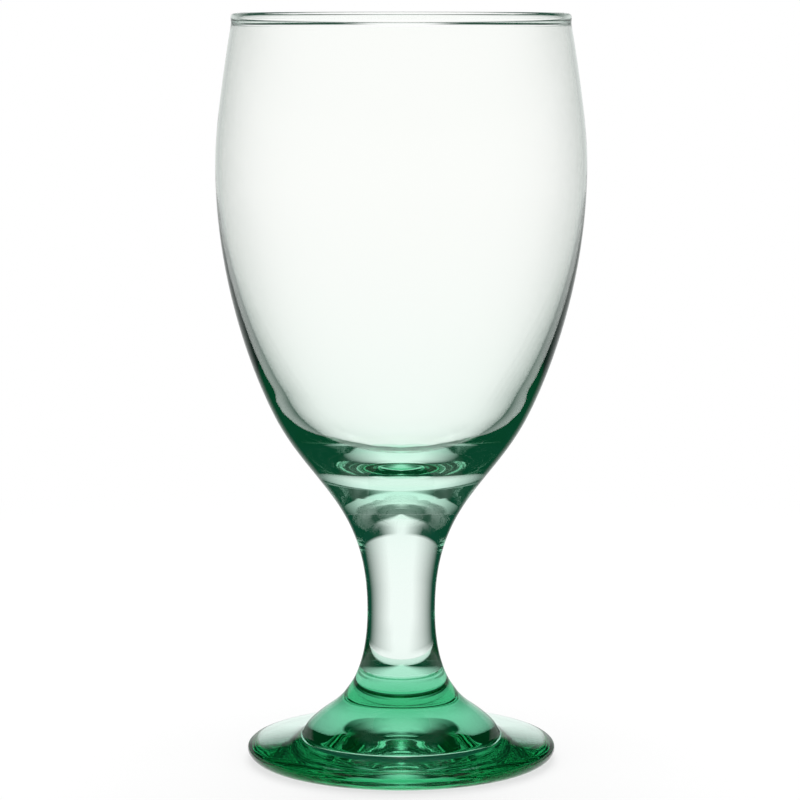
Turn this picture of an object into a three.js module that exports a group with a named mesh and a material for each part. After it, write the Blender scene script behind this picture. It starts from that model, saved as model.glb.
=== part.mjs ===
// Stemmed water glass, empty: a thin-walled bowl, a solid waisted stem and a stepped foot.
// The three pieces are fused hot, one under another, at two flat faces.
// Millimetres, +Z up. The origin is the centre of the plane that the foot rests on.

import * as THREE from "three";

// Outside of the bowl and stem
const GLASS_HEIGHT = 175;
const RIM_RADIUS = 39.3;
const RIM_LEAN = -9.6;
const BELLY_RADIUS = 43.1;
const BELLY_HEIGHT = 139.7;
const SHOULDER_RADIUS = 28.8;
const SHOULDER_HEIGHT = 79.9;
const SHOULDER_LEAN = 28.8;
const WAIST_RADIUS = 8.0;
const WAIST_HEIGHT = 35.3;

// Rounded bead at the rim, and the short neck in which it thins to the wall
const BEAD_WIDTH = 1.9;
const BEAD_HEIGHT = 2.0;
const BEAD_NECK = 0.9;

// Inside of the bowl
const WALL = 0.9;
const CUP_TURN_HEIGHT = 88;
const CUP_TURN_WALL = 3.8;
const CUP_TURN_LEAN = 29;
const FLOOR_HEIGHT = 70;

// Faces where the pieces are fused
const BOWL_JOINT_HEIGHT = 64;
const FOOT_JOINT_HEIGHT = 15;

// Foot: flare, rounded step, sloping disc and rolled edge
const FLARE_RADIUS = 17.0;
const FLARE_HEIGHT = 12;
const FLARE_LEAN = -55.9;
const STEP_RADIUS = 23.1;
const STEP_HEIGHT = 6.4;
const STEP_LEAN = -24;
const DISC_RADIUS = 27;
const DISC_HEIGHT = 4.7;
const DISC_LEAN = -83;
const FOOT_RADIUS = 36.4;
const EDGE_WIDTH = 3.1;
const EDGE_RISE = 2.4;
const EDGE_CROWN = 1.7;
const EDGE_TURN = 80;

// Domed hollow under the foot, rounded where it meets the ring that the glass stands on
const HOLLOW_RADIUS = 22;
const HOLLOW_DEPTH = 5;
const HOLLOW_LIP = 2;

// How long a curve keeps the direction of each end, as a share of the height that it climbs
const RIM_CURVE = [0.13, 0.67];
const CUP_CURVE = [0.1, 0.52];
const STEM_CURVE = [0.55, 0.38];
const FLARE_CURVE = [0.3, 0.53];
const STEP_CURVE = [0.3, 0.5];
const DISC_CURVE = [1.6, 0.6];
const INSIDE_CURVE = [0.2, 0.45];
const FLOOR_CURVE = [1.1, 0.35];
const BEAD_CURVE = [0.5, 0.5];

// Fineness: flats round the axis, and steps along a long curve, a short curve and a bend
const ROUND_SEGMENTS = 64;
const LONG_STEPS = 9;
const SHORT_STEPS = 4;
const BEND_STEPS = 8;
const HALVINGS = 40;
const SAME_POINT = 1e-6;

// Directions in degrees: a climb leans out from upright, a turn counts from straight out
const UPRIGHT = 0;
const OUTWARD = 90;
const TURN_DOWN = -90;
const TURN_OUT = 0;
const TURN_UP = 90;
const TURN_IN = 180;

// A point of the profile, with the direction in which the curve climbs through it: degrees out from upright
function knot(radius, height, lean) {
  const angle = THREE.MathUtils.degToRad(lean);
  return {
    point: new THREE.Vector2(radius, height),
    heading: new THREE.Vector2(Math.sin(angle), Math.cos(angle)),
  };
}

// Smooth curve that climbs from one knot to another
function climb(low, high, [lowShare, highShare]) {
  const rise = high.point.y - low.point.y;
  const leaving = low.point.clone().addScaledVector(low.heading, rise * lowShare);
  const arriving = high.point.clone().addScaledVector(high.heading, -rise * highShare);
  return new THREE.CubicBezierCurve(low.point, leaving, arriving, high.point);
}

// Where along a climbing curve a height is reached, from 0 at its foot to 1 at its top
function reach(curve, height) {
  let low = 0;
  let high = 1;
  for (let halving = 0; halving < HALVINGS; halving += 1) {
    const middle = (low + high) / 2;
    if (curve.getPoint(middle).y < height) {
      low = middle;
    } else {
      high = middle;
    }
  }
  return (low + high) / 2;
}

// Points along a stretch of a curve, both ends included
function stretch(curve, from, to, steps) {
  const points = [];
  for (let step = 0; step <= steps; step += 1) {
    points.push(curve.getPoint(from + ((to - from) * step) / steps));
  }
  return points;
}

// Points along an elliptic arc, angles in degrees from straight out, turning up
function arc(radius, height, width, rise, from, to, steps) {
  const start = THREE.MathUtils.degToRad(from);
  const end = THREE.MathUtils.degToRad(to);
  const curve = new THREE.EllipseCurve(radius, height, width, rise, start, end, end < start);
  return stretch(curve, 0, 1, steps);
}

// One outline from several runs of points, each point once
function outline(...runs) {
  const joined = [];
  for (const point of runs.flat()) {
    const last = joined[joined.length - 1];
    if (!last || last.distanceTo(point) > SAME_POINT) {
      joined.push(point);
    }
  }
  return joined;
}

// Solid of revolution about Z from an outline that starts and ends on the axis
function turned(name, points, material) {
  const geometry = new THREE.LatheGeometry(points, ROUND_SEGMENTS);
  geometry.rotateX(Math.PI / 2);
  const mesh = new THREE.Mesh(geometry, material);
  mesh.name = name;
  return mesh;
}

function onAxis(height) {
  return new THREE.Vector2(0, height);
}

// Knots and curves that the pieces share on the outside
const rim = knot(RIM_RADIUS, GLASS_HEIGHT - BEAD_HEIGHT - BEAD_NECK, RIM_LEAN);
const belly = knot(BELLY_RADIUS, BELLY_HEIGHT, UPRIGHT);
const shoulder = knot(SHOULDER_RADIUS, SHOULDER_HEIGHT, SHOULDER_LEAN);
const waist = knot(WAIST_RADIUS, WAIST_HEIGHT, UPRIGHT);
const flare = knot(FLARE_RADIUS, FLARE_HEIGHT, FLARE_LEAN);
const cupCurve = climb(shoulder, belly, CUP_CURVE);
const stemCurve = climb(waist, shoulder, STEM_CURVE);
const flareCurve = climb(flare, waist, FLARE_CURVE);
const bowlJoint = reach(stemCurve, BOWL_JOINT_HEIGHT);
const footJoint = reach(flareCurve, FOOT_JOINT_HEIGHT);

// Outside radius at a height between waist and belly
function outside(height) {
  const curve = height > SHOULDER_HEIGHT ? cupCurve : stemCurve;
  return curve.getPoint(reach(curve, height)).x;
}

// Rim bead: out of the wall, over the top and back into the wall
function bead(innerRim) {
  const beadHeight = GLASS_HEIGHT - BEAD_HEIGHT / 2;
  const beadRadius = RIM_RADIUS - BEAD_WIDTH / 2;
  const outer = knot(RIM_RADIUS, beadHeight, UPRIGHT);
  const inner = knot(RIM_RADIUS - BEAD_WIDTH, beadHeight, UPRIGHT);
  return outline(
    stretch(climb(rim, outer, BEAD_CURVE), 0, 1, SHORT_STEPS),
    arc(beadRadius, beadHeight, BEAD_WIDTH / 2, BEAD_HEIGHT / 2, TURN_OUT, TURN_IN, BEND_STEPS),
    stretch(climb(innerRim, inner, BEAD_CURVE), 1, 0, SHORT_STEPS),
  );
}

// Bowl: up the outside, over the bead and down the inside to the middle of the floor
function bowl(material) {
  const innerRim = knot(RIM_RADIUS - WALL, rim.point.y, RIM_LEAN);
  const innerBelly = knot(BELLY_RADIUS - WALL, BELLY_HEIGHT, UPRIGHT);
  const cupTurn = knot(outside(CUP_TURN_HEIGHT) - CUP_TURN_WALL, CUP_TURN_HEIGHT, CUP_TURN_LEAN);
  const floor = knot(0, FLOOR_HEIGHT, OUTWARD);
  const points = outline(
    [onAxis(BOWL_JOINT_HEIGHT)],
    stretch(stemCurve, bowlJoint, 1, SHORT_STEPS),
    stretch(cupCurve, 0, 1, LONG_STEPS),
    stretch(climb(belly, rim, RIM_CURVE), 0, 1, SHORT_STEPS),
    bead(innerRim),
    stretch(climb(innerBelly, innerRim, RIM_CURVE), 1, 0, SHORT_STEPS),
    stretch(climb(cupTurn, innerBelly, INSIDE_CURVE), 1, 0, LONG_STEPS),
    stretch(climb(floor, cupTurn, FLOOR_CURVE), 1, 0, LONG_STEPS),
  );
  return turned("bowl", points, material);
}

// Stem: solid, waisted, flat at both ends
function stem(material) {
  const points = outline(
    [onAxis(FOOT_JOINT_HEIGHT)],
    stretch(flareCurve, footJoint, 1, SHORT_STEPS),
    stretch(stemCurve, 0, bowlJoint, LONG_STEPS),
    [onAxis(BOWL_JOINT_HEIGHT)],
  );
  return turned("stem", points, material);
}

// Hollow: a dome that runs without a corner into a rounded lip, which ends level on the ring
function hollow() {
  const span = HOLLOW_RADIUS ** 2 + HOLLOW_DEPTH ** 2 - 2 * HOLLOW_LIP * HOLLOW_DEPTH;
  const domeRadius = span / (2 * HOLLOW_DEPTH);
  const domeCentre = HOLLOW_DEPTH - domeRadius;
  const bend = THREE.MathUtils.radToDeg(Math.atan2(HOLLOW_RADIUS, HOLLOW_LIP - domeCentre));
  return outline(
    arc(0, domeCentre, domeRadius, domeRadius, TURN_UP, TURN_UP - bend, LONG_STEPS),
    arc(HOLLOW_RADIUS, HOLLOW_LIP, HOLLOW_LIP, HOLLOW_LIP, TURN_DOWN - bend, TURN_DOWN, SHORT_STEPS),
  );
}

// Foot: hollow underneath, flat resting ring, rolled edge, sloping disc, rounded step and flare
function foot(material) {
  const disc = knot(DISC_RADIUS, DISC_HEIGHT, DISC_LEAN);
  const step = knot(STEP_RADIUS, STEP_HEIGHT, STEP_LEAN);
  const edgeRadius = FOOT_RADIUS - EDGE_WIDTH;
  const points = outline(
    hollow(),
    arc(edgeRadius, EDGE_RISE, EDGE_WIDTH, EDGE_RISE, TURN_DOWN, TURN_OUT, SHORT_STEPS),
    arc(edgeRadius, EDGE_RISE, EDGE_WIDTH, EDGE_CROWN, TURN_OUT, EDGE_TURN, SHORT_STEPS),
    stretch(climb(disc, step, DISC_CURVE), 0, 1, SHORT_STEPS),
    stretch(climb(step, flare, STEP_CURVE), 0, 1, SHORT_STEPS),
    stretch(flareCurve, 0, footJoint, SHORT_STEPS),
    [onAxis(FOOT_JOINT_HEIGHT)],
  );
  return turned("foot", points, material);
}

// Pale green glass, seen paler in the thin wall than in the solid stem and foot
function glass(colour) {
  return new THREE.MeshStandardMaterial({
    color: colour,
    roughness: 0.03,
    metalness: 0,
    transparent: true,
    opacity: 0.45,
  });
}

const waterGlass = new THREE.Group();
waterGlass.name = "water_glass";
waterGlass.add(bowl(glass("#dcebe2")));
waterGlass.add(stem(glass("#a9d3bd")));
waterGlass.add(foot(glass("#4f9f78")));

export default waterGlass;
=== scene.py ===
"""Stemmed water glass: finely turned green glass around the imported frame, in a plain bright studio."""

import logging
import math
from dataclasses import dataclass
from enum import Enum

import bmesh
import bpy
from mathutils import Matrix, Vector


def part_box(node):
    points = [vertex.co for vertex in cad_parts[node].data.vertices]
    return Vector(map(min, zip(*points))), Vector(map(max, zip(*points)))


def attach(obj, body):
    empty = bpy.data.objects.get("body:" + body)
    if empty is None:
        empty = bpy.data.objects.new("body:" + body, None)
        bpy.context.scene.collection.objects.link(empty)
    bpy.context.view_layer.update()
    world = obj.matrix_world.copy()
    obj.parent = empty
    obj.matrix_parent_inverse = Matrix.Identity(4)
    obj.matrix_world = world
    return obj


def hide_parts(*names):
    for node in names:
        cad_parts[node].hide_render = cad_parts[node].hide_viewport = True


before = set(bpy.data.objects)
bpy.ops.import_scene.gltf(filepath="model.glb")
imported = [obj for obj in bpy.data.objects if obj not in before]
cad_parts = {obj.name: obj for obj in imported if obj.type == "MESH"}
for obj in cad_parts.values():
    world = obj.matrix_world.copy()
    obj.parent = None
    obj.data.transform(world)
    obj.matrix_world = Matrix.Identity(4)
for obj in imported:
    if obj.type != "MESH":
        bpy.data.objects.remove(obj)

log = logging.getLogger("water_glass")

BODY = "root"
MM = 0.001

# How far the dark cards, painted shade and dark reflections, lie under the glass, over the floor and under
# the ring that the glass stands on
CARD_LEVEL = -0.1 * MM

Point = tuple[float, float]
Triple = tuple[float, float, float]


class Piece(Enum):
    """The pieces of the glass, by the name of the frame's node."""

    BOWL = "bowl"
    STEM = "stem"
    FOOT = "foot"


class RayKind(Enum):
    """The kinds of ray that look for the white surroundings, by the Light Path node's names."""

    CAMERA = "Is Camera Ray"
    GLOSSY = "Is Glossy Ray"
    TRANSMISSION = "Is Transmission Ray"


@dataclass(frozen=True)
class NodePatch:
    """A node tree with short ways to add nodes, set their sockets and link them."""

    tree: bpy.types.NodeTree

    def add(self, kind: str, **sockets: object) -> bpy.types.Node:
        """Add a node.

        Args:
            kind: The node's type.
            sockets: Values of its inputs, by name with underscores for spaces.

        Returns:
            The new node.
        """
        node = self.tree.nodes.new(kind)
        for name, value in sockets.items():
            node.inputs[name.replace("_", " ")].default_value = value
        return node

    def link(self, start: bpy.types.NodeSocket, end: bpy.types.NodeSocket) -> None:
        """Link an output to an input."""
        self.tree.links.new(start, end)

    def larger(self, first: bpy.types.NodeSocket, second: bpy.types.NodeSocket) -> bpy.types.NodeSocket:
        """Give the larger of two values.

        Args:
            first: The first value.
            second: The second value.

        Returns:
            The result's socket.
        """
        node = self.add("ShaderNodeMath")
        node.operation = "MAXIMUM"
        for socket, value in zip(node.inputs, (first, second)):
            self.link(value, socket)
        return node.outputs[0]

    def step(self, value: bpy.types.NodeSocket, low: float, high: float) -> bpy.types.NodeSocket:
        """Add a smooth step.

        Args:
            value: What is looked at.
            low: The value at which the step starts from 0.
            high: The value at which it has reached 1.

        Returns:
            The result's socket.
        """
        node = self.add("ShaderNodeMapRange", From_Min=low, From_Max=high)
        node.interpolation_type = "SMOOTHSTEP"
        self.link(value, node.inputs["Value"])
        return node.outputs["Result"]

    def mix(
        self, share: bpy.types.NodeSocket, first: bpy.types.NodeSocket, second: bpy.types.NodeSocket
    ) -> bpy.types.NodeSocket:
        """Mix two shaders.

        Args:
            share: How much there is of the second.
            first: The first shader.
            second: The second shader.

        Returns:
            The mixed shader's socket.
        """
        node = self.add("ShaderNodeMixShader")
        for socket, value in zip(node.inputs, (share, first, second)):
            self.link(value, socket)
        return node.outputs[0]

    def any_ray(self, *kinds: RayKind) -> bpy.types.NodeSocket:
        """Say whether a ray is of one of several kinds.

        Args:
            kinds: The kinds of ray.

        Returns:
            A socket that is 1 for these rays and 0 for others.
        """
        path = self.add("ShaderNodeLightPath")
        found = path.outputs[kinds[0].value]
        for kind in kinds[1:]:
            found = self.larger(found, path.outputs[kind.value])
        return found


def new_material(name: str) -> tuple[bpy.types.Material, NodePatch, bpy.types.Node]:
    """Make an empty node material.

    Args:
        name: The material's name.

    Returns:
        The material, its patch of nodes and its output node.
    """
    material = bpy.data.materials.new(name)
    material.use_nodes = True
    material.node_tree.nodes.clear()
    patch = NodePatch(material.node_tree)
    return material, patch, patch.add("ShaderNodeOutputMaterial")


def new_object(name: str, mesh: bmesh.types.BMesh, material: bpy.types.Material) -> bpy.types.Object:
    """Make an object at the origin and put it in the scene.

    Args:
        name: The object's name.
        mesh: Its mesh, which is used up.
        material: Its material.

    Returns:
        The object.
    """
    data = bpy.data.meshes.new(name)
    mesh.to_mesh(data)
    mesh.free()
    data.materials.append(material)
    thing = bpy.data.objects.new(name, data)
    bpy.context.scene.collection.objects.link(thing)
    return thing


def turned(line: list[Triple], steps: int) -> bmesh.types.BMesh:
    """Turn a line once about the upright axis.

    Args:
        line: The places of its points, in order.
        steps: How many steps there are in the turn.

    Returns:
        The turned surface.
    """
    mesh = bmesh.new()
    vertices = [mesh.verts.new(place) for place in line]
    edges = [mesh.edges.new(pair) for pair in zip(vertices, vertices[1:])]
    bmesh.ops.spin(
        mesh,
        geom=vertices + edges,
        cent=(0.0, 0.0, 0.0),
        axis=(0.0, 0.0, 1.0),
        angle=2 * math.pi,
        steps=steps,
        use_merge=True,
    )
    return mesh


def limited(share: float) -> float:
    """Hold a share between 0 and 1."""
    return min(max(share, 0.0), 1.0)


@dataclass(frozen=True)
class GreenGlass:
    """Clear glass that takes red and some blue out of the light on its way through.

    The fused faces inside the glass have the index of air to air, so that no seam shows there.
    """

    name: str
    density: float
    ripple: float = 0.05 * MM
    ripple_scale: float = 40.0
    ripple_detail: float = 1.0
    ripple_squeeze: Triple = (1.0, 1.0, 4.0)
    tint: Triple = (1.0, 1.0, 0.99)
    colour: Triple = (0.0, 0.86, 0.52)
    mirror: float = 0.1
    index: float = 1.52
    fused_index: float = 1.0
    fused_attribute: str = "fused"

    def material(self) -> bpy.types.Material:
        """Make the material: a clear surface, and colour that deepens with the way through the glass."""
        material, patch, output = new_material(self.name)
        surface = patch.add(
            "ShaderNodeBsdfPrincipled",
            Base_Color=(*self.tint, 1.0),
            Roughness=0.0,
            Transmission_Weight=1.0,
            IOR=self.index,
            Specular_Tint=(*[self.mirror] * 3, 1.0),
        )
        fused = patch.add("ShaderNodeAttribute")
        fused.attribute_name = self.fused_attribute
        index = patch.add("ShaderNodeMapRange", To_Min=self.index, To_Max=self.fused_index)
        patch.link(fused.outputs["Fac"], index.inputs["Value"])
        patch.link(index.outputs["Result"], surface.inputs["IOR"])
        patch.link(self.waves(patch), surface.inputs["Normal"])
        depth = patch.add("ShaderNodeVolumeAbsorption", Color=(*self.colour, 1.0), Density=self.density)
        patch.link(surface.outputs[0], output.inputs["Surface"])
        patch.link(depth.outputs[0], output.inputs["Volume"])
        return material

    def waves(self, patch: NodePatch) -> bpy.types.NodeSocket:
        """Work out the faint ripple that a mould leaves, long round the glass and short up it.

        Args:
            patch: The material's nodes.

        Returns:
            The rippled normal's socket.
        """
        place = patch.add("ShaderNodeTexCoord")
        squeeze = patch.add("ShaderNodeMapping", Scale=self.ripple_squeeze)
        patch.link(place.outputs["Object"], squeeze.inputs["Vector"])
        noise = patch.add("ShaderNodeTexNoise", Scale=self.ripple_scale, Detail=self.ripple_detail)
        patch.link(squeeze.outputs["Vector"], noise.inputs["Vector"])
        bump = patch.add("ShaderNodeBump", Strength=1.0, Distance=self.ripple)
        patch.link(noise.outputs[0], bump.inputs["Height"])
        return bump.outputs["Normal"]


@dataclass
class TurnedPiece:
    """One piece of the glass, turned again from its node's profile with a finer surface."""

    piece: Piece
    finish: GreenGlass
    fused_heights: tuple[float, ...]
    steps_round: int = 192
    longest_step: float = 1.1 * MM
    largest_turn: float = math.radians(3.0)
    corner: float = math.radians(36.0)
    straight_ratio: float = 3.0
    straight_turn: float = 1e-5
    straight_steps: int = 12
    seam: float = 0.01 * MM
    same_point: float = 0.002 * MM
    weld: float = 0.0002 * MM

    def meridian(self) -> list[Point]:
        """Read the profile off the node: the edges of its mesh that lie on the meridian in front.

        Returns:
            Radius and height of each point, from axis to axis.
        """
        mesh = bmesh.new()
        mesh.from_mesh(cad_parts[self.piece.value].data)
        bmesh.ops.remove_doubles(mesh, verts=mesh.verts[:], dist=self.same_point)

        def on_meridian(vertex: bmesh.types.BMVert) -> bool:
            """Say whether a vertex lies on the axis or straight in front of it."""
            return abs(vertex.co.x) < self.same_point and vertex.co.y < self.same_point

        line = {v: [] for v in mesh.verts if on_meridian(v)}
        for edge in mesh.edges:
            start, end = edge.verts
            if start in line and end in line:
                line[start].append(end)
                line[end].append(start)
        ends = sorted((v for v in line if len(line[v]) == 1), key=lambda v: v.co.z)
        walk = [ends[0]]
        while len(walk) < len(line):
            onward = [v for v in line[walk[-1]] if v not in walk[-2:-1]]
            walk.append(onward[0])
        points = [(-v.co.y, v.co.z) for v in walk]
        mesh.free()
        return points

    def tangents(self, points: list[Vector]) -> list[tuple[Vector, Vector]]:
        """Work out the directions in which a smooth curve comes to and leaves each point.

        Args:
            points: The profile's points.

        Returns:
            The direction of arrival and of departure at each point, which differ only at a corner.
        """
        chords = [b - a for a, b in zip(points, points[1:])]
        lengths = [c.length for c in chords]
        ways = [c.normalized() for c in chords]

        def straight(index: int) -> bool:
            """Say whether a chord is a straight stretch, long beside the chords next to it."""
            near = [lengths[i] for i in (index - 1, index + 1) if 0 <= i < len(lengths)]
            return lengths[index] > self.straight_ratio * max(near)

        plain = [ways[0]]
        for index in range(1, len(points) - 1):
            before, after = ways[index - 1], ways[index]
            plain.append((before * lengths[index] + after * lengths[index - 1]).normalized())
        plain.append(ways[-1])

        found = [(ways[0], ways[0])]
        for index in range(1, len(points) - 1):
            before, after = ways[index - 1], ways[index]
            if before.angle(after) > self.corner:
                found.append((before, after))
                continue
            way = plain[index]
            if straight(index - 1):
                way = before
            elif straight(index):
                way = after
            elif lengths[index - 1] > self.straight_ratio * lengths[index]:
                way = -plain[index - 1].reflect(before)
            elif lengths[index] > self.straight_ratio * lengths[index - 1]:
                way = -plain[index + 1].reflect(after)
            found.append((way, way))
        found.append((ways[-1], ways[-1]))
        return found

    def refined(self, rough: list[Point]) -> list[Point]:
        """Put a smooth curve through the profile's points.

        Args:
            rough: Radius and height of the node's own points.

        Returns:
            Radius and height of many more points, with the rough ones among them.
        """
        points = [Vector(p) for p in rough]
        ways = self.tangents(points)
        fine = [points[0]]
        for index, (start, end) in enumerate(zip(points, points[1:])):
            leave, arrive = ways[index][1], ways[index + 1][0]
            length = (end - start).length
            turn = leave.angle(arrive)
            steps = max(1, math.ceil(length / self.longest_step), math.ceil(turn / self.largest_turn))
            if turn < self.straight_turn:
                steps = min(steps, self.straight_steps)
            for step in range(1, steps + 1):
                t = step / steps
                fine.append(
                    start * (2 * t**3 - 3 * t**2 + 1)
                    + leave * length * (t**3 - 2 * t**2 + t)
                    + end * (3 * t**2 - 2 * t**3)
                    + arrive * length * (t**3 - t**2)
                )
        return [(p.x, p.y) for p in fine]

    def seated(self, points: list[Point]) -> list[Point]:
        """Draw the fused faces back by a hair, so that two pieces never share a face.

        Args:
            points: The profile's points.

        Returns:
            The points, those at a fused height moved into the piece.
        """
        heights = [height for _, height in points]
        middle = (min(heights) + max(heights)) / 2
        moved = []
        for radius, height in points:
            if any(abs(height - fused) < self.same_point for fused in self.fused_heights):
                height += math.copysign(self.seam, middle - height)
            moved.append((max(radius, 0.0), height))
        return moved

    def is_fused(self, face: bmesh.types.BMFace) -> bool:
        """Say whether a face is part of a flat face where two pieces are fused."""
        reach = 2 * self.seam
        return any(all(abs(v.co.z - fused) < reach for v in face.verts) for fused in self.fused_heights)

    def mesh(self) -> bmesh.types.BMesh:
        """Turn the piece and mark its fused faces.

        Returns:
            The piece's mesh.
        """
        points = self.seated(self.refined(self.meridian()))
        mesh = turned([(0.0, -radius, height) for radius, height in points], self.steps_round)
        bmesh.ops.remove_doubles(mesh, verts=mesh.verts[:], dist=self.weld)
        bmesh.ops.recalc_face_normals(mesh, faces=mesh.faces[:])
        fused = mesh.faces.layers.float.new(self.finish.fused_attribute)
        for face in mesh.faces:
            face[fused] = float(self.is_fused(face))
            face.smooth = True
        for edge in mesh.edges:
            edge.smooth = len({face[fused] for face in edge.link_faces}) == 1
        return mesh

    def build(self) -> bpy.types.Object:
        """Build the piece, dress it and put it in the node's place.

        Returns:
            The finished piece.
        """
        name = f"{self.piece.value}_glass"
        piece = new_object(name, self.mesh(), self.finish.material())
        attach(piece, BODY)
        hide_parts(self.piece.value)
        log.info("%s: %d faces, in %s", name, len(piece.data.polygons), self.finish.name)
        return piece


@dataclass
class WaterGlass:
    """The whole glass: bowl, stem and foot, fused at two flat faces."""

    bowl: GreenGlass = GreenGlass("bowl_green_glass", density=11.0, ripple=0.01 * MM)
    stem: GreenGlass = GreenGlass("stem_green_glass", density=7.0)
    # The foot is the same green glass as the bowl and stem; its far greater density and deeper colour are
    # painted shade that darkens the foot
    foot: GreenGlass = GreenGlass("foot_green_glass", density=60.0, colour=(0.0, 0.74, 0.46))

    def build(self) -> list[bpy.types.Object]:
        """Build the three pieces.

        Returns:
            The pieces, from the bowl down.
        """
        finishes = {Piece.BOWL: self.bowl, Piece.STEM: self.stem, Piece.FOOT: self.foot}
        low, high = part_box(Piece.STEM.value)
        return [TurnedPiece(piece, finishes[piece], (low.z, high.z)).build() for piece in Piece]


@dataclass
class View:
    """The camera of the photograph: level with the rim, looking slightly down."""

    distance: float = 735.0 * MM
    height: float = 180.5 * MM
    pitch: float = math.radians(7.4)
    lens: float = 142.44
    sensor: float = 36.0
    shift: float = -0.0015
    nearest: float = 10.0 * MM

    def build(self) -> bpy.types.Object:
        """Make the camera and make it the scene's.

        Returns:
            The camera.
        """
        data = bpy.data.cameras.new("camera")
        data.lens = self.lens
        data.sensor_width = self.sensor
        data.shift_x = self.shift
        data.clip_start = self.nearest
        camera = bpy.data.objects.new("camera", data)
        camera.location = (0.0, -self.distance, self.height)
        camera.rotation_euler = (math.pi / 2 - self.pitch, 0.0, 0.0)
        bpy.context.scene.collection.objects.link(camera)
        bpy.context.scene.camera = camera
        bpy.context.view_layer.update()
        return camera


@dataclass(frozen=True)
class Rung:
    """One level line of a dark card, in metres, with the openings at that level.

    The angles are in degrees from straight behind the glass. The card is clear up to the first and
    dense from the second on, and it may be clear again from a third one on, in front of the glass.
    """

    radius: float
    height: float
    clear: float
    full: float
    density: float = 1.0
    reopen: float = math.inf
    reopen_ramp: float = 30.0

    def shade(self, angle: float) -> float:
        """Work out how dense the card is.

        Args:
            angle: Degrees from straight behind the glass.

        Returns:
            The density, from 0 for clear to 1.
        """
        behind = (angle - self.clear) / (self.full - self.clear)
        front = (self.reopen - angle) / self.reopen_ramp
        return self.density * limited(behind) * limited(front)


@dataclass(frozen=True)
class DarkCard:
    """A dark card that goes round the glass, open behind it, with soft borders.

    It is painted shade and dark reflections, which only the light in the glass meets. It may be hidden
    from the light that is mirrored in the glass, or from the light that comes through it.
    """

    name: str
    rungs: tuple[Rung, ...]
    mirrored: bool = True
    through: bool = True
    steps_round: int = 144

    def mesh(self) -> bmesh.types.BMesh:
        """Turn the card, with its density as a texture coordinate.

        Returns:
            The card's mesh.
        """
        mesh = turned([(0.0, rung.radius, rung.height) for rung in self.rungs], self.steps_round)
        shade = mesh.loops.layers.uv.new("shade")
        for face in mesh.faces:
            for loop in face.loops:
                place = loop.vert.co
                angle = math.degrees(math.atan2(abs(place.x), place.y))
                loop[shade].uv.x = self.rung_at(place).shade(angle)
        return mesh

    def rung_at(self, place: Vector) -> Rung:
        """Find the rung on which a point of the card lies."""
        radius = place.xy.length
        return min(self.rungs, key=lambda rung: abs(rung.radius - radius) + abs(rung.height - place.z))


# Painted shade seen only through the glass: dark surroundings, and the glass's painted shadow on the floor
# under and behind the foot
THROUGH_CARD = DarkCard(
    "through_card",
    (
        # Under the foot: painted shadow of the foot on the floor, with a slot behind the axis, wider under
        # the ring
        Rung(0.001, CARD_LEVEL, 12.0, 40.0),
        Rung(0.021, CARD_LEVEL, 12.0, 40.0),
        Rung(0.026, CARD_LEVEL, 60.0, 85.0),
        Rung(0.04, CARD_LEVEL, 75.0, 100.0),
        Rung(0.045, CARD_LEVEL, 20.0, 60.0),
        # Floor and wall behind the glass: painted shade at the sides, open in the middle, which lights the
        # bowl and the stem
        Rung(0.055, CARD_LEVEL, 6.0, 52.0),
        Rung(0.08, CARD_LEVEL, 8.0, 52.0),
        Rung(0.15, CARD_LEVEL, 12.0, 52.0),
        Rung(1.2, CARD_LEVEL, 12.0, 52.0),
        Rung(1.2, 0.5, 12.0, 52.0),
        # Sky: painted dark sky with a narrow opening, which lights the middle of the neck
        Rung(1.2, 0.57, 2.0, 18.0),
        Rung(1.2, 0.72, 3.0, 20.0),
        Rung(1.2, 1.1, 6.0, 30.0),
        Rung(1.2, 1.8, 18.0, 50.0),
        # Roof: painted dark sky, shut overhead and open in front
        Rung(1.2, 2.4, 10.0, 40.0, reopen=140.0),
        Rung(1.2, 2.9, -5.0, 20.0, reopen=140.0),
        Rung(0.6, 3.2, -1.0, 0.0, density=0.8, reopen=140.0),
        Rung(0.02, 3.3, -1.0, 0.0, density=0.8, reopen=140.0),
    ),
    mirrored=False,
)

# Painted dark reflections, seen only in the glass's mirror image
MIRROR_CARD = DarkCard(
    "mirror_card",
    (
        # Floor beside the glass: a painted dark reflection, which darkens the lower wall of the bowl
        Rung(0.05, CARD_LEVEL, 12.0, 52.0, density=0.0),
        Rung(0.065, CARD_LEVEL, 0.0, 35.0),
        Rung(0.3, CARD_LEVEL, 0.0, 35.0),
        Rung(0.6, CARD_LEVEL, 2.0, 25.0, density=0.7),
        # Two strips beside the opening: painted dark reflections, which draw the thin edges of the bowl
        Rung(1.3, CARD_LEVEL, 4.0, 20.0, density=0.65, reopen=70.0),
        Rung(1.3, 0.3, 4.0, 20.0, density=0.65, reopen=70.0),
        # Sky, shut all round: a painted dark reflection, which keeps the top of the foot clear of glare
        Rung(1.3, 0.4, -1.0, 0.0),
        Rung(1.3, 1.8, -1.0, 0.0),
        Rung(1.3, 2.8, -1.0, 0.0, density=0.0),
    ),
    through=False,
)


@dataclass(frozen=True)
class SoftLamp:
    """A square lamp that looks at the glass and lights the floor alone."""

    name: str
    place: Triple
    size: float
    power: float

    def hang(self, stand: bpy.types.Object) -> None:
        """Hang the lamp.

        Args:
            stand: What the lamp turns with.
        """
        data = bpy.data.lights.new(self.name, "AREA")
        data.size = self.size
        data.energy = self.power
        lamp = bpy.data.objects.new(self.name, data)
        lamp.location = self.place
        lamp.rotation_euler = (-Vector(self.place)).to_track_quat("-Z", "Y").to_euler()
        lamp.visible_glossy = False
        lamp.visible_transmission = False
        lamp.parent = stand
        bpy.context.scene.collection.objects.link(lamp)


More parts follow.
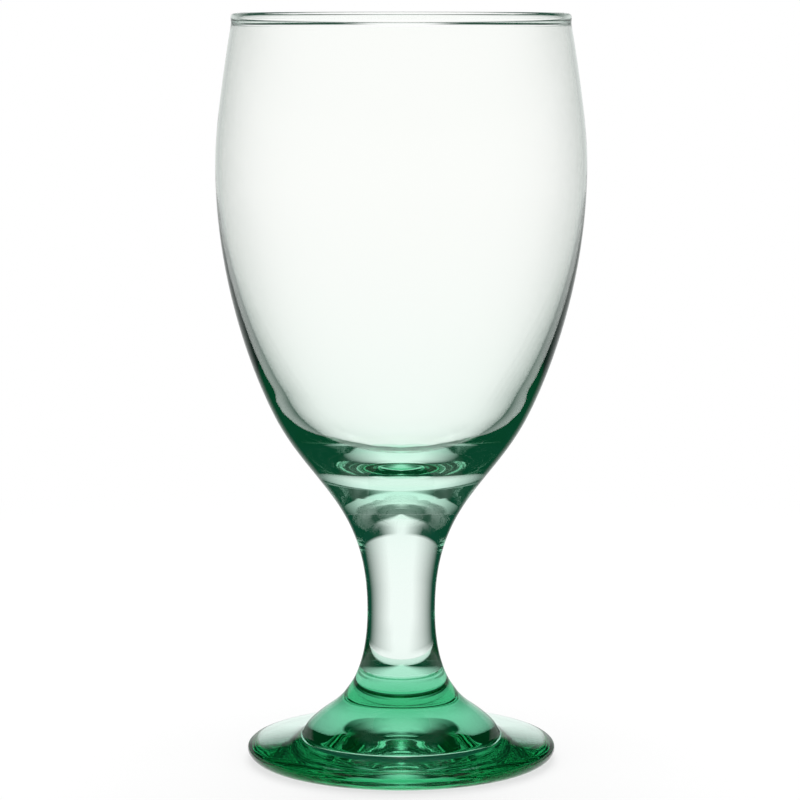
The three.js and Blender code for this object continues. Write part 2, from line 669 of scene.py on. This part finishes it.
@dataclass
class Studio:
    """A plain pale floor, white surroundings, dark cards round the glass and soft lamps.

    The cards, painted shade and dark reflections seen only in the glass, and the lamps turn with the
    camera, so that the glass is lit alike from every side.
    """

    camera: bpy.types.Object
    floor_half: float = 3.0
    floor_drop: float = 0.2 * MM
    floor_shade: float = 0.88
    floor_white: float = 0.7
    fade_start: float = 0.10
    fade_end: float = 0.40
    white_level: float = 1.0
    world_level: float = 0.45
    cards: tuple[DarkCard, ...] = (THROUGH_CARD, MIRROR_CARD)
    # The faint dark green that the cards glow: painted dark surroundings seen in the glass
    painted_dark_glow: Triple = (0.006, 0.06, 0.034)
    lamps: tuple[SoftLamp, ...] = (
        SoftLamp("back_lamp", (0.0, 0.8, 0.9), size=0.8, power=9.0),
        SoftLamp("top_lamp", (0.0, -0.1, 1.3), size=0.9, power=4.5),
    )
    bounces: int = 32
    mirror_bounces: int = 24
    clear_bounces: int = 24

    def floor(self) -> None:
        """Lay the floor: pale, white to the camera, with the glass's shadow on it."""
        material, patch, output = new_material("pale_floor")
        place = patch.add("ShaderNodeTexCoord")
        away = patch.add("ShaderNodeVectorMath")
        away.operation = "LENGTH"
        patch.link(place.outputs["Object"], away.inputs[0])

        lit = patch.add("ShaderNodeBsdfDiffuse", Color=(*[self.floor_shade] * 3, 1.0))
        shadow = patch.add("ShaderNodeBsdfDiffuse", Color=(*[1.0 - self.floor_white] * 3, 1.0))
        white = patch.add("ShaderNodeEmission", Strength=self.floor_white)
        near = patch.add("ShaderNodeAddShader")
        patch.link(shadow.outputs[0], near.inputs[0])
        patch.link(white.outputs[0], near.inputs[1])
        far = patch.add("ShaderNodeEmission", Strength=self.white_level)
        fade = patch.step(away.outputs["Value"], self.fade_start, self.fade_end)
        seen = patch.mix(fade, near.outputs[0], far.outputs[0])

        surface = patch.mix(patch.any_ray(RayKind.CAMERA), lit.outputs[0], seen)
        in_glass = patch.any_ray(RayKind.GLOSSY, RayKind.TRANSMISSION)
        patch.link(patch.mix(in_glass, surface, far.outputs[0]), output.inputs["Surface"])
        mesh = bmesh.new()
        bmesh.ops.create_grid(mesh, x_segments=1, y_segments=1, size=self.floor_half)
        bmesh.ops.translate(mesh, verts=mesh.verts[:], vec=(0.0, 0.0, -self.floor_drop))
        new_object("floor", mesh, material)

    def turntable(self) -> bpy.types.Object:
        """Make the stand of cards and lamps, which turns about the glass and faces the camera.

        Returns:
            The stand.
        """
        stand = bpy.data.objects.new("turntable", None)
        bpy.context.scene.collection.objects.link(stand)
        aim = stand.constraints.new("LOCKED_TRACK")
        aim.target = self.camera
        aim.track_axis = "TRACK_NEGATIVE_Y"
        aim.lock_axis = "LOCK_Z"
        return stand

    def surround(self, stand: bpy.types.Object) -> None:
        """Stand the dark cards round the glass, where only light in the glass meets them.

        Args:
            stand: What the cards turn with.
        """
        # The cards are painted shade and dark reflections; their dense parts glow a faint dark green
        # instead of being black
        material, patch, output = new_material("dark_card")
        place = patch.add("ShaderNodeTexCoord")
        split = patch.add("ShaderNodeSeparateXYZ")
        patch.link(place.outputs["UV"], split.inputs[0])
        dark = patch.add("ShaderNodeEmission", Color=(*self.painted_dark_glow, 1.0), Strength=1.0)
        clear = patch.add("ShaderNodeBsdfTransparent")
        shaded = patch.mix(split.outputs["X"], clear.outputs[0], dark.outputs[0])
        patch.link(shaded, output.inputs["Surface"])

        for card in self.cards:
            thing = new_object(card.name, card.mesh(), material)
            thing.visible_camera = False
            thing.visible_diffuse = False
            thing.visible_shadow = False
            thing.visible_glossy = card.mirrored
            thing.visible_transmission = card.through
            thing.parent = stand

    def surroundings(self) -> None:
        """Make the world white to the camera, in the glass and through it, and dim as a lamp."""
        world = bpy.data.worlds.new("white_surroundings")
        world.use_nodes = True
        world.node_tree.nodes.clear()
        patch = NodePatch(world.node_tree)
        output = patch.add("ShaderNodeOutputWorld")
        light = patch.add("ShaderNodeBackground", Color=(1.0, 1.0, 1.0, 1.0))
        level = patch.add("ShaderNodeMapRange", To_Min=self.world_level, To_Max=self.white_level)
        patch.link(patch.any_ray(*RayKind), level.inputs["Value"])
        patch.link(level.outputs["Result"], light.inputs["Strength"])
        patch.link(light.outputs[0], output.inputs["Surface"])
        bpy.context.scene.world = world

    def build(self) -> None:
        """Set the studio up, with enough bounces for light that goes through many glass surfaces."""
        self.floor()
        self.surroundings()
        stand = self.turntable()
        self.surround(stand)
        for lamp in self.lamps:
            lamp.hang(stand)
        scene = bpy.context.scene
        scene.view_settings.view_transform = "Standard"
        scene.cycles.max_bounces = self.bounces
        scene.cycles.transmission_bounces = self.bounces
        scene.cycles.glossy_bounces = self.mirror_bounces
        scene.cycles.transparent_max_bounces = self.clear_bounces
        log.info("studio: %d cards, %d lamps", len(self.cards), len(self.lamps))


def main() -> None:
    """Build the glass, the camera and the studio."""
    logging.basicConfig(level=logging.INFO, format="%(name)s: %(message)s")
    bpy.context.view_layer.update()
    WaterGlass().build()
    camera = View().build()
    Studio(camera).build()
    log.info("boxes written")


if __name__ == "__main__":
    main()
